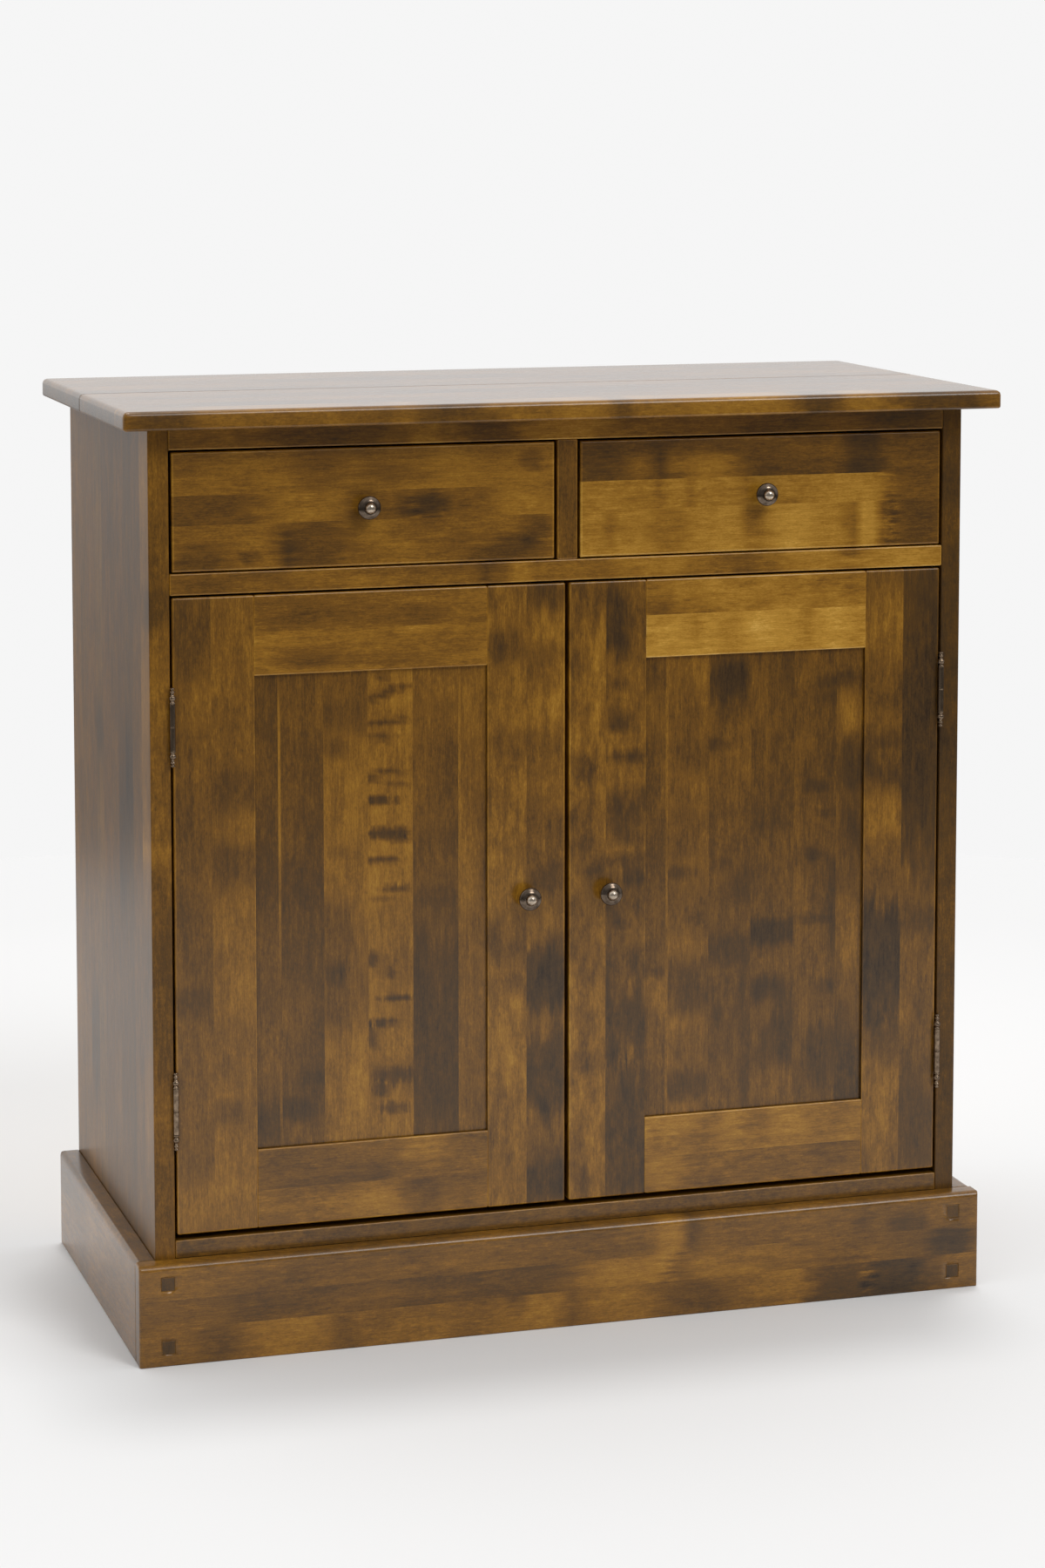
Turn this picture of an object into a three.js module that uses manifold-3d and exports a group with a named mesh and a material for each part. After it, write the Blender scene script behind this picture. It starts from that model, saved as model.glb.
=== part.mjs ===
// A free-standing sideboard in stained birch: two drawers above two panelled doors, on a plinth.
//
// The model is built in millimetres with Z up. Inside this file Y runs from the front of the
// body (y = 0) to its back (y = BODY_DEPTH), and X is measured from the middle, so the left side
// of the cabinet is at negative X. The last lines move the whole cabinet so that the origin is
// on the floor, under the middle of the box that encloses it.

import * as THREE from 'three';
import { mergeVertices } from 'three/addons/utils/BufferGeometryUtils.js';
import Module from 'manifold-3d';

const manifold = await Module();
manifold.setup();

// ---------------------------------------------------------------- driving dimensions

const BODY_WIDTH = 960;
const BODY_DEPTH = 465;
const TOTAL_HEIGHT = 1064;

const TOP_THICKNESS = 21;
const TOP_SIDE_OVERHANG = 33.5;
const TOP_FRONT_OVERHANG = 38;
const TOP_FRONT_BOARD_DEPTH = 258;
const TOP_EDGE_RADIUS = 6;
const TOP_LOWER_RADIUS = 3;

const SIDE_THICKNESS = 23;
const FLOOR_THICKNESS = 20;
const BACK_THICKNESS = 6;
const BACK_REBATE = 10;
const TOP_RAIL_HEIGHT = 25;
const MIDDLE_RAIL_HEIGHT = 24;
const RAIL_DEPTH = 70;
const DUST_PANEL_THICKNESS = 12;
const PARTITION_THICKNESS = 24;
const DRAWER_OPENING_HEIGHT = 136;

const PLINTH_HEIGHT = 115;
const PLINTH_THICKNESS = 23;
const PLINTH_EDGE_RADIUS = 7;
const PLUG_SIZE = 15;
const PLUG_DEPTH = 10;
const PLUG_END_INSET = 25;
const PLUG_SPREAD = 72;

const DOOR_THICKNESS = 22;
const DOOR_STILE_WIDTH = 92;
const DOOR_RAIL_HEIGHT = 90;
const DOOR_SIDE_GAP = 2.5;
const DOOR_TOP_GAP = 2.5;
const DOOR_BOTTOM_GAP = 6;
const DOOR_MIDDLE_GAP = 4.6;
const PANEL_RECESS = 5;
const PANEL_THICKNESS = 9;
const PANEL_TONGUE = 10;

const DRAWER_FRONT_THICKNESS = 22;
const DRAWER_SIDE_GAP = 3.2;
const DRAWER_TOP_GAP = 2.4;
const DRAWER_BOTTOM_GAP = 1.6;
const DRAWER_LENGTH = 420;
const DRAWER_BOX_HEIGHT = 104;
const DRAWER_WALL = 12;
const DRAWER_BOTTOM_THICKNESS = 6;
const DRAWER_BOTTOM_RAISE = 8;
const DRAWER_GROOVE = 6;

const KNOB_RADIUS = 13.2;
const KNOB_PROJECTION = 26;

const HINGE_END_INSET = 142;
const HINGE_LEAF_HEIGHT = 52;
const HINGE_LEAF_DEPTH = 18;
const HINGE_LEAF_THICKNESS = 1.05;
const HINGE_BARREL_RADIUS = 3.3;
const HINGE_BARREL_CLEARANCE = 1;
const HINGE_PIN_RADIUS = 1.5;
const HINGE_BORE_RADIUS = 1.75;
const HINGE_WASHER = 1;
const HINGE_FINIAL_HEIGHT = 18;

const SHELF_THICKNESS = 18;
const SHELF_HEIGHT = 480;
const SHELF_SET_BACK = 30;
const CLEAT_SIZE = 20;

const CATCH_WIDTH = 60;
const CATCH_HEIGHT = 12;
const CATCH_DEPTH = 30;
const CATCH_SET_BACK = 2;

const RUNNING_GAP = 0.5;
const FIT_GAP = 0.3;

// ---------------------------------------------------------------- dimensions that follow

const halfWidth = BODY_WIDTH / 2;
const innerHalfWidth = halfWidth - SIDE_THICKNESS;
const topUnderside = TOTAL_HEIGHT - TOP_THICKNESS;
const drawerOpeningTop = topUnderside - TOP_RAIL_HEIGHT;
const drawerOpeningBottom = drawerOpeningTop - DRAWER_OPENING_HEIGHT;
const doorOpeningTop = drawerOpeningBottom - MIDDLE_RAIL_HEIGHT;
const doorOpeningBottom = PLINTH_HEIGHT + FLOOR_THICKNESS;
const backFace = BODY_DEPTH - BACK_THICKNESS;
const doorTop = doorOpeningTop - DOOR_TOP_GAP;
const doorBottom = doorOpeningBottom + DOOR_BOTTOM_GAP;

// ---------------------------------------------------------------- finishes

function finish(color, roughness, metalness) {
  return new THREE.MeshStandardMaterial({ color, roughness, metalness });
}

const stainedBirch = finish(0x76551f, 0.35, 0);
const stainedPanel = finish(0x6b4a1c, 0.35, 0);
const plugWood = finish(0x3a2a16, 0.4, 0);
const paleBirch = finish(0xc9a877, 0.55, 0);
const plywood = finish(0x8a6a3a, 0.6, 0);
const pewter = finish(0x6f6a63, 0.35, 1);
const bronze = finish(0x6e5a45, 0.35, 1);
const brownPlastic = finish(0x3b2a1c, 0.5, 0);

// ---------------------------------------------------------------- making solids

const cabinet = new THREE.Group();

function addMesh(parent, name, geometry, material) {
  const mesh = new THREE.Mesh(geometry, material);
  mesh.name = name;
  parent.add(mesh);
  return mesh;
}

// A span is [low, high] along one axis; a block is its three spans.
function blockGeometry([x, y, z]) {
  const geometry = new THREE.BoxGeometry(x[1] - x[0], y[1] - y[0], z[1] - z[0]);
  return geometry.translate((x[0] + x[1]) / 2, (y[0] + y[1]) / 2, (z[0] + z[1]) / 2);
}

function grow(block, gap) {
  return block.map(([low, high]) => [low - gap, high + gap]);
}

function toSolid(geometry) {
  const bare = geometry.clone();
  bare.deleteAttribute('normal');
  bare.deleteAttribute('uv');
  const merged = mergeVertices(bare, 1e-4);
  return new manifold.Manifold(new manifold.Mesh({
    numProp: 3,
    vertProperties: new Float32Array(merged.attributes.position.array),
    triVerts: new Uint32Array(merged.index.array),
  }));
}

function toGeometry(solid) {
  const mesh = solid.getMesh();
  const geometry = new THREE.BufferGeometry();
  geometry.setAttribute('position', new THREE.BufferAttribute(mesh.vertProperties, 3));
  geometry.setIndex(new THREE.BufferAttribute(mesh.triVerts, 1));
  return geometry;
}

function cut(geometry, pockets) {
  const start = toSolid(geometry);
  const rest = pockets.reduce((solid, pocket) => solid.subtract(toSolid(pocket)), start);
  return toGeometry(rest);
}

function join(geometries) {
  return toGeometry(geometries.map(toSolid).reduce((sum, solid) => sum.add(solid)));
}

function addBlock(parent, name, block, material, pockets = []) {
  const whole = blockGeometry(block);
  const geometry = pockets.length ? cut(whole, pockets.map(blockGeometry)) : whole;
  return addMesh(parent, name, geometry, material);
}

// The span from inner to outer, measured from the middle, on the left (-1) or right (+1).
function sideSpan(side, inner, outer) {
  return side < 0 ? [-outer, -inner] : [inner, outer];
}

// A board that runs along X, with rounded long edges at the front. Its section is drawn with
// shape x as depth and shape y as height, and the turn below carries those to Y and Z.
function boardAlongX(x, y, z, upperRadius, lowerRadius) {
  const section = new THREE.Shape();
  section.moveTo(y[1], z[0]);
  section.lineTo(y[1], z[1]);
  section.lineTo(y[0] + upperRadius, z[1]);
  section.absarc(y[0] + upperRadius, z[1] - upperRadius, upperRadius, Math.PI / 2, Math.PI);
  if (lowerRadius > 0) {
    section.absarc(y[0] + lowerRadius, z[0] + lowerRadius, lowerRadius, Math.PI, Math.PI * 1.5);
  } else {
    section.lineTo(y[0], z[0]);
  }
  const geometry = new THREE.ExtrudeGeometry(section, {
    depth: x[1] - x[0],
    bevelEnabled: false,
    curveSegments: 4,
  });
  const turn = new THREE.Matrix4().makeBasis(
    new THREE.Vector3(0, 1, 0),
    new THREE.Vector3(0, 0, 1),
    new THREE.Vector3(1, 0, 0),
  );
  return geometry.applyMatrix4(turn).translate(x[0], 0, 0);
}

// An upright cylinder between two heights.
function upright(radius, x, y, z, sides = 16) {
  const geometry = new THREE.CylinderGeometry(radius, radius, z[1] - z[0], sides);
  return geometry.rotateX(Math.PI / 2).translate(x, y, (z[0] + z[1]) / 2);
}

// ---------------------------------------------------------------- carcass

function buildCarcass() {
  const back = [
    [-innerHalfWidth - BACK_REBATE, innerHalfWidth + BACK_REBATE],
    [backFace, BODY_DEPTH],
    [PLINTH_HEIGHT, topUnderside],
  ];
  addBlock(cabinet, 'back_panel', back, plywood);

  for (const [side, word] of [[-1, 'left'], [1, 'right']]) {
    const panel = [sideSpan(side, innerHalfWidth, halfWidth), [0, BODY_DEPTH], [0, topUnderside]];
    addBlock(cabinet, `side_panel_${word}`, panel, stainedBirch, [grow(back, FIT_GAP)]);
  }

  const across = [-innerHalfWidth, innerHalfWidth];
  const inside = [0, backFace];
  const front = [0, RAIL_DEPTH];
  addBlock(cabinet, 'floor_panel', [across, inside, [PLINTH_HEIGHT, doorOpeningBottom]],
    stainedBirch);
  addBlock(cabinet, 'top_front_rail', [across, front, [drawerOpeningTop, topUnderside]],
    stainedBirch);
  addBlock(cabinet, 'top_rear_rail',
    [across, [backFace - RAIL_DEPTH, backFace], [drawerOpeningTop, topUnderside]], stainedBirch);
  addBlock(cabinet, 'middle_rail', [across, front, [doorOpeningTop, drawerOpeningBottom]],
    stainedBirch);
  addBlock(cabinet, 'dust_panel',
    [across, [RAIL_DEPTH, backFace],
      [drawerOpeningBottom - DUST_PANEL_THICKNESS, drawerOpeningBottom]], paleBirch);
  addBlock(cabinet, 'drawer_partition',
    [[-PARTITION_THICKNESS / 2, PARTITION_THICKNESS / 2], inside,
      [drawerOpeningBottom, drawerOpeningTop]], stainedBirch);
}

// ---------------------------------------------------------------- top

function buildTop() {
  const x = [-halfWidth - TOP_SIDE_OVERHANG, halfWidth + TOP_SIDE_OVERHANG];
  const z = [topUnderside, TOTAL_HEIGHT];
  const seam = TOP_FRONT_BOARD_DEPTH - TOP_FRONT_OVERHANG;
  const frontBoard = boardAlongX(x, [-TOP_FRONT_OVERHANG, seam], z,
    TOP_EDGE_RADIUS, TOP_LOWER_RADIUS);
  addMesh(cabinet, 'top_front_board', frontBoard, stainedBirch);
  addBlock(cabinet, 'top_rear_board', [x, [seam, BODY_DEPTH], z], stainedBirch);
}

// ---------------------------------------------------------------- plinth

function buildPlinth() {
  const outer = halfWidth + PLINTH_THICKNESS;
  const z = [0, PLINTH_HEIGHT];
  const plugs = [];
  for (const [side, word] of [[-1, 'left'], [1, 'right']]) {
    const middle = side * (outer - PLUG_END_INSET - PLUG_SIZE / 2);
    for (const [level, height] of [
      ['lower', (PLINTH_HEIGHT - PLUG_SPREAD) / 2],
      ['upper', (PLINTH_HEIGHT + PLUG_SPREAD) / 2],
    ]) {
      plugs.push({
        name: `plinth_plug_${word}_${level}`,
        block: [
          [middle - PLUG_SIZE / 2, middle + PLUG_SIZE / 2],
          [-PLINTH_THICKNESS, -PLINTH_THICKNESS + PLUG_DEPTH],
          [height - PLUG_SIZE / 2, height + PLUG_SIZE / 2],
        ],
      });
    }
    addBlock(cabinet, `plinth_side_${word}`,
      [sideSpan(side, halfWidth, outer), [0, BODY_DEPTH], z], stainedBirch);
  }

  const board = boardAlongX([-outer, outer], [-PLINTH_THICKNESS, 0], z, PLINTH_EDGE_RADIUS, 0);
  const pockets = plugs.map(({ block }) => blockGeometry(grow(block, FIT_GAP)));
  addMesh(cabinet, 'plinth_front', cut(board, pockets), stainedBirch);
  for (const { name, block } of plugs) {
    addBlock(cabinet, name, block, plugWood);
  }
  addBlock(cabinet, 'plinth_rear_rail',
    [[-innerHalfWidth, innerHalfWidth], [BODY_DEPTH - PLINTH_THICKNESS, BODY_DEPTH], z],
    stainedBirch);
}

// ---------------------------------------------------------------- fittings inside

function buildFittings() {
  const shelfWidth = innerHalfWidth - RUNNING_GAP;
  addBlock(cabinet, 'shelf',
    [[-shelfWidth, shelfWidth], [SHELF_SET_BACK, backFace - RUNNING_GAP],
      [SHELF_HEIGHT, SHELF_HEIGHT + SHELF_THICKNESS]], stainedBirch);
  for (const [side, word] of [[-1, 'left'], [1, 'right']]) {
    addBlock(cabinet, `shelf_cleat_${word}`,
      [sideSpan(side, innerHalfWidth - CLEAT_SIZE, innerHalfWidth),
        [SHELF_SET_BACK + CLEAT_SIZE / 2, backFace - CLEAT_SIZE],
        [SHELF_HEIGHT - CLEAT_SIZE, SHELF_HEIGHT]], stainedBirch);
  }
  const catchFront = DOOR_THICKNESS + CATCH_SET_BACK;
  addBlock(cabinet, 'door_catch',
    [[-CATCH_WIDTH / 2, CATCH_WIDTH / 2], [catchFront, catchFront + CATCH_DEPTH],
      [doorOpeningTop - CATCH_HEIGHT, doorOpeningTop]], brownPlastic);
}

// ---------------------------------------------------------------- knobs

// Turned mushroom knob: a foot, a waist and a round head with a small raised button.
function knobGeometry() {
  const headFront = KNOB_PROJECTION - 1.2;
  const profile = [
    [0, 0],
    [7.4, 0],
    [7.4, 1.6],
    [5.2, 3],
    [4.6, 7],
    [5.6, 10],
    [9.6, 12],
    [12.4, 15],
    [KNOB_RADIUS, 18.4],
    [12.2, 21.6],
    [9.2, 23.9],
    [5, headFront],
    [4.4, KNOB_PROJECTION],
    [0, KNOB_PROJECTION],
  ];
  return new THREE.LatheGeometry(profile.map(([r, h]) => new THREE.Vector2(r, h)), 20);
}

function addKnob(parent, name, x, z) {
  const knob = addMesh(parent, name, knobGeometry(), pewter);
  knob.rotation.x = Math.PI;
  knob.position.set(x, 0, z);
}

// ---------------------------------------------------------------- hinges

// The pin runs through both knuckles. It carries a washer between them and a turned finial
// beyond each, so its outline is the same above and below its middle.
function pinGeometry() {
  const barrelEnd = HINGE_LEAF_HEIGHT / 2 + FIT_GAP;
  const finial = [
    [HINGE_BARREL_RADIUS, 0],
    [HINGE_BARREL_RADIUS, 1.8],
    [2, 2.8],
    [2.2, 4.2],
    [3.9, 6.4],
    [3.9, 8.6],
    [2.2, 10.8],
    [1.6, 12],
    [2.8, 13.2],
    [2.8, 14.6],
    [1.6, 16],
    [1, HINGE_FINIAL_HEIGHT],
    [0, HINGE_FINIAL_HEIGHT],
  ];
  const upper = [
    [HINGE_BARREL_RADIUS, 0],
    [HINGE_BARREL_RADIUS, HINGE_WASHER / 2],
    [HINGE_PIN_RADIUS, HINGE_WASHER / 2],
    [HINGE_PIN_RADIUS, barrelEnd],
    ...finial.map(([r, h]) => [r, barrelEnd + h]),
  ];
  const lower = upper.slice(1).reverse().map(([r, h]) => [r, -h]);
  const outline = [...lower, ...upper.slice(1)].map(([r, h]) => new THREE.Vector2(r, h));
  return new THREE.LatheGeometry(outline, 14);
}

// One leaf: a plate in the gap beside the door, with a knuckle on half of its height.
function leafGeometry(plateX, axisX, axisY, middle, end) {
  const half = HINGE_LEAF_HEIGHT / 2;
  const washerGap = HINGE_WASHER / 2 + FIT_GAP;
  const knuckle = end < 0
    ? [middle - half, middle - washerGap]
    : [middle + washerGap, middle + half];
  const body = join([
    blockGeometry([plateX, [0, HINGE_LEAF_DEPTH], [middle - half, middle + half]]),
    blockGeometry([plateX, [axisY, 1], knuckle]),
    upright(HINGE_BARREL_RADIUS, axisX, axisY, knuckle),
  ]);
  const bore = upright(HINGE_BORE_RADIUS, axisX, axisY, [knuckle[0] - 1, knuckle[1] + 1]);
  return cut(body, [bore]);
}

function buildHinge(door, side, word, level, middle) {
  const axisX = side * (innerHalfWidth - DOOR_SIDE_GAP / 2);
  const axisY = -HINGE_BARREL_RADIUS - HINGE_BARREL_CLEARANCE;
  const frameX = sideSpan(side, innerHalfWidth - HINGE_LEAF_THICKNESS, innerHalfWidth);
  const doorEdge = innerHalfWidth - DOOR_SIDE_GAP;
  const doorX = sideSpan(side, doorEdge, doorEdge + HINGE_LEAF_THICKNESS);
  const frameLeaf = leafGeometry(frameX, axisX, axisY, middle, -1);
  const doorLeaf = leafGeometry(doorX, axisX, axisY, middle, 1);
  addMesh(cabinet, `hinge_frame_leaf_${word}_${level}`, frameLeaf, bronze);
  addMesh(door, `hinge_door_leaf_${word}_${level}`, doorLeaf, bronze);
  const pin = addMesh(cabinet, `hinge_pin_${word}_${level}`, pinGeometry(), bronze);
  pin.rotation.x = Math.PI / 2;
  pin.position.set(axisX, axisY, middle);
}

// ---------------------------------------------------------------- doors

function buildDoor(side, word) {
  const door = new THREE.Group();
  cabinet.add(door);
  const outer = innerHalfWidth - DOOR_SIDE_GAP;
  const inner = DOOR_MIDDLE_GAP / 2;
  const y = [0, DOOR_THICKNESS];
  const height = [doorBottom, doorTop];
  const sight = [inner + DOOR_STILE_WIDTH, outer - DOOR_STILE_WIDTH];

  const panel = [
    sideSpan(side, sight[0] - PANEL_TONGUE, sight[1] + PANEL_TONGUE),
    [PANEL_RECESS, PANEL_RECESS + PANEL_THICKNESS],
    [doorBottom + DOOR_RAIL_HEIGHT - PANEL_TONGUE, doorTop - DOOR_RAIL_HEIGHT + PANEL_TONGUE],
  ];
  const groove = [grow(panel, FIT_GAP)];
  addBlock(door, `door_panel_${word}`, panel, stainedPanel);
  addBlock(door, `door_hinge_stile_${word}`, [sideSpan(side, sight[1], outer), y, height],
    stainedBirch, groove);
  addBlock(door, `door_lock_stile_${word}`, [sideSpan(side, inner, sight[0]), y, height],
    stainedBirch, groove);
  addBlock(door, `door_top_rail_${word}`,
    [sideSpan(side, ...sight), y, [doorTop - DOOR_RAIL_HEIGHT, doorTop]], stainedBirch, groove);
  addBlock(door, `door_bottom_rail_${word}`,
    [sideSpan(side, ...sight), y, [doorBottom, doorBottom + DOOR_RAIL_HEIGHT]],
    stainedBirch, groove);

  addKnob(door, `door_knob_${word}`, side * (inner + DOOR_STILE_WIDTH / 2),
    (doorTop + doorBottom) / 2);
  buildHinge(door, side, word, 'upper', doorTop - HINGE_END_INSET);
  buildHinge(door, side, word, 'lower', doorBottom + HINGE_END_INSET);
}

// ---------------------------------------------------------------- drawers

function buildDrawer(side, word) {
  const drawer = new THREE.Group();
  cabinet.add(drawer);
  const inner = PARTITION_THICKNESS / 2 + DRAWER_SIDE_GAP;
  const outer = innerHalfWidth - DRAWER_SIDE_GAP;
  const x = sideSpan(side, inner, outer);
  const base = drawerOpeningBottom + RUNNING_GAP;
  const boxHeight = [base, base + DRAWER_BOX_HEIGHT];
  const wallY = [DRAWER_FRONT_THICKNESS, DRAWER_LENGTH];
  const bottom = [
    [x[0] + DRAWER_WALL - DRAWER_GROOVE, x[1] - DRAWER_WALL + DRAWER_GROOVE],
    [DRAWER_FRONT_THICKNESS - DRAWER_GROOVE, DRAWER_LENGTH - DRAWER_WALL + DRAWER_GROOVE],
    [base + DRAWER_BOTTOM_RAISE, base + DRAWER_BOTTOM_RAISE + DRAWER_BOTTOM_THICKNESS],
  ];
  const groove = [grow(bottom, FIT_GAP)];
  const frontHeight = [drawerOpeningBottom + DRAWER_BOTTOM_GAP, drawerOpeningTop - DRAWER_TOP_GAP];

  addBlock(drawer, `drawer_front_${word}`, [x, [0, DRAWER_FRONT_THICKNESS], frontHeight],
    stainedBirch, groove);
  addBlock(drawer, `drawer_bottom_${word}`, bottom, plywood);
  addBlock(drawer, `drawer_inner_wall_${word}`,
    [sideSpan(side, inner, inner + DRAWER_WALL), wallY, boxHeight], paleBirch, groove);
  addBlock(drawer, `drawer_outer_wall_${word}`,
    [sideSpan(side, outer - DRAWER_WALL, outer), wallY, boxHeight], paleBirch, groove);
  addBlock(drawer, `drawer_back_${word}`,
    [[x[0] + DRAWER_WALL, x[1] - DRAWER_WALL],
      [DRAWER_LENGTH - DRAWER_WALL, DRAWER_LENGTH], boxHeight], paleBirch, groove);
  addKnob(drawer, `drawer_knob_${word}`, (x[0] + x[1]) / 2, (frontHeight[0] + frontHeight[1]) / 2);
}

// ---------------------------------------------------------------- assembly

buildCarcass();
buildTop();
buildPlinth();
buildFittings();
for (const [side, word] of [[-1, 'left'], [1, 'right']]) {
  buildDoor(side, word);
  buildDrawer(side, word);
}

// The enclosing box runs from the front of the top to the back of the body.
cabinet.position.y = (TOP_FRONT_OVERHANG - BODY_DEPTH) / 2;

const sideboard = new THREE.Group();
sideboard.add(cabinet);
export default sideboard;
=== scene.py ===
"""Sideboard in stained birch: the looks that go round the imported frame.

Every wooden piece is made as a board: a block with eased arrises, cut at its glue lines into
staves. Each board carries its grain direction, the tone of each stave and its stain pools as
mesh attributes, and one wood material reads them. Sizes are in metres, as the frame's are.
"""
import math
import random

import bmesh
import bpy
from mathutils import Matrix, Vector


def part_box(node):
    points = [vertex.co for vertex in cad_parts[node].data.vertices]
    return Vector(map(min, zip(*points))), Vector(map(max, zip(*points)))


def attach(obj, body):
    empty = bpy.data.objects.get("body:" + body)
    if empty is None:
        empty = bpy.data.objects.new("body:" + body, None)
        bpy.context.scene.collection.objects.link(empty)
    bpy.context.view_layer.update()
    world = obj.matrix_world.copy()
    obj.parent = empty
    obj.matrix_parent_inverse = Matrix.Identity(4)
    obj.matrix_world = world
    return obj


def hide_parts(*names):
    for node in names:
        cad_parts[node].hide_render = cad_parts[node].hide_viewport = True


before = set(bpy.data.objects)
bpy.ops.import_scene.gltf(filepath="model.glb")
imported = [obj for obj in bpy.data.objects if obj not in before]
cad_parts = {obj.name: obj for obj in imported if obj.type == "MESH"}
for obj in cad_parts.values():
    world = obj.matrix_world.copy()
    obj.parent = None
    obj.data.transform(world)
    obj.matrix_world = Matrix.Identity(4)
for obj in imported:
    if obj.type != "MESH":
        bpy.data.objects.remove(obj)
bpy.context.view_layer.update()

MM = 0.001
X, Y, Z = 0, 1, 2
BACK_OF_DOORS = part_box("door_lock_stile_left")[1].y
SIDES = (("left", -1), ("right", 1))

# ------------------------------------------------------------------ camera, light and floor

CAMERA_PLACE = (-1.3025, -4.2823, 1.4155)
CAMERA_TURN = 17.07
CAMERA_TILT = 5.784
CAMERA_LENS = 87.64
CAMERA_SHIFT = -0.20
PALE = 0.92
FLOOR_RADIUS = 2.6
# The floor's colour near the middle and at the rim, painted to even out the light on it.
FLOOR_NEAR, FLOOR_FAR = 0.84, 0.775
WORLD_BRIGHT_SIDE = (0, 0.8, 0.6)
WORLD_BRIGHT = 0.92
WORLD_DIM = 0.22
WORLD_LOW = 0.35


def make_camera():
    data = bpy.data.cameras.new("camera")
    data.sensor_width = 36
    data.lens = CAMERA_LENS
    data.shift_y = CAMERA_SHIFT
    data.clip_end = 100
    camera = bpy.data.objects.new("camera", data)
    camera.location = CAMERA_PLACE
    camera.rotation_euler = (math.radians(90 - CAMERA_TILT), 0, math.radians(-CAMERA_TURN))
    bpy.context.collection.objects.link(camera)
    bpy.context.scene.camera = camera


def soft_sun(name, right, up, strength, spread):
    """A distant soft light: right and up are its angles from straight in front, in degrees."""
    data = bpy.data.lights.new(name, "SUN")
    data.energy = strength
    data.angle = math.radians(spread)
    light = bpy.data.objects.new(name, data)
    right, up = math.radians(right), math.radians(up)
    source = Vector((math.sin(right) * math.cos(up), -math.cos(right) * math.cos(up), math.sin(up)))
    light.rotation_mode = "QUATERNION"
    light.rotation_quaternion = source.to_track_quat("Z", "Y")
    bpy.context.collection.objects.link(light)


def set_range(node, low, high, to_low, to_high):
    """The limits of a Map Range node."""
    for socket, limit in (("From Min", low), ("From Max", high),
                          ("To Min", to_low), ("To Max", to_high)):
        node.inputs[socket].default_value = limit


def make_world():
    """A pale studio: bright behind and overhead, dim in front and below the horizon."""
    world = bpy.data.worlds.new("studio")
    world.use_nodes = True
    bpy.context.scene.world = world
    nodes, links = world.node_tree.nodes, world.node_tree.links

    def smooth_step(value, low, high, to_low, to_high):
        step = nodes.new("ShaderNodeMapRange")
        step.interpolation_type = "SMOOTHSTEP"
        set_range(step, low, high, to_low, to_high)
        links.new(value, step.inputs["Value"])
        return step.outputs[0]

    place = nodes.new("ShaderNodeTexCoord").outputs["Generated"]
    toward_back = nodes.new("ShaderNodeVectorMath")
    toward_back.operation = "DOT_PRODUCT"
    toward_back.inputs[1].default_value = WORLD_BRIGHT_SIDE
    links.new(place, toward_back.inputs[0])
    split = nodes.new("ShaderNodeSeparateXYZ")
    links.new(place, split.inputs[0])
    sky = smooth_step(toward_back.outputs["Value"], -0.5, 0.4, WORLD_DIM, WORLD_BRIGHT)
    haze = smooth_step(split.outputs["Z"], -0.2, 0.02, WORLD_LOW, 1.0)
    product = nodes.new("ShaderNodeMath")
    product.operation = "MULTIPLY"
    links.new(sky, product.inputs[0])
    links.new(haze, product.inputs[1])
    rays = nodes.new("ShaderNodeLightPath")
    mix = nodes.new("ShaderNodeMix")
    mix.inputs["B"].default_value = PALE
    links.new(product.outputs[0], mix.inputs["A"])
    links.new(rays.outputs["Is Camera Ray"], mix.inputs["Factor"])
    background = nodes["Background"]
    links.new(mix.outputs["Result"], background.inputs["Strength"])
    background.inputs["Color"].default_value = (1, 1, 1, 1)


def make_floor():
    """A round pale floor that runs out into the equally pale background, its colour painted lighter
    near the middle and darker toward the rim to even out its light.
    """
    bm = bmesh.new()
    bmesh.ops.create_circle(bm, cap_ends=True, segments=128, radius=FLOOR_RADIUS)
    floor = object_from("floor", bm)
    g = Graph("pale_floor")
    distance = g.nodes.new("ShaderNodeVectorMath")
    distance.operation = "LENGTH"
    g.feed(distance.inputs[0], g.node("ShaderNodeTexCoord").outputs["Object"])
    # Painted light: the floor is lighter near the cabinet, where its shade falls, and darker toward
    # the rim.
    painted_light_fade = g.spread(distance.outputs["Value"], FLOOR_RADIUS / 3, FLOOR_RADIUS * 0.8,
                    FLOOR_NEAR, FLOOR_FAR)
    g.set(Base_Color=painted_light_fade, Roughness=0.95, Specular_IOR_Level=0.0)
    floor.data.materials.append(g.material)


# ------------------------------------------------------------------ node helpers


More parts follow.
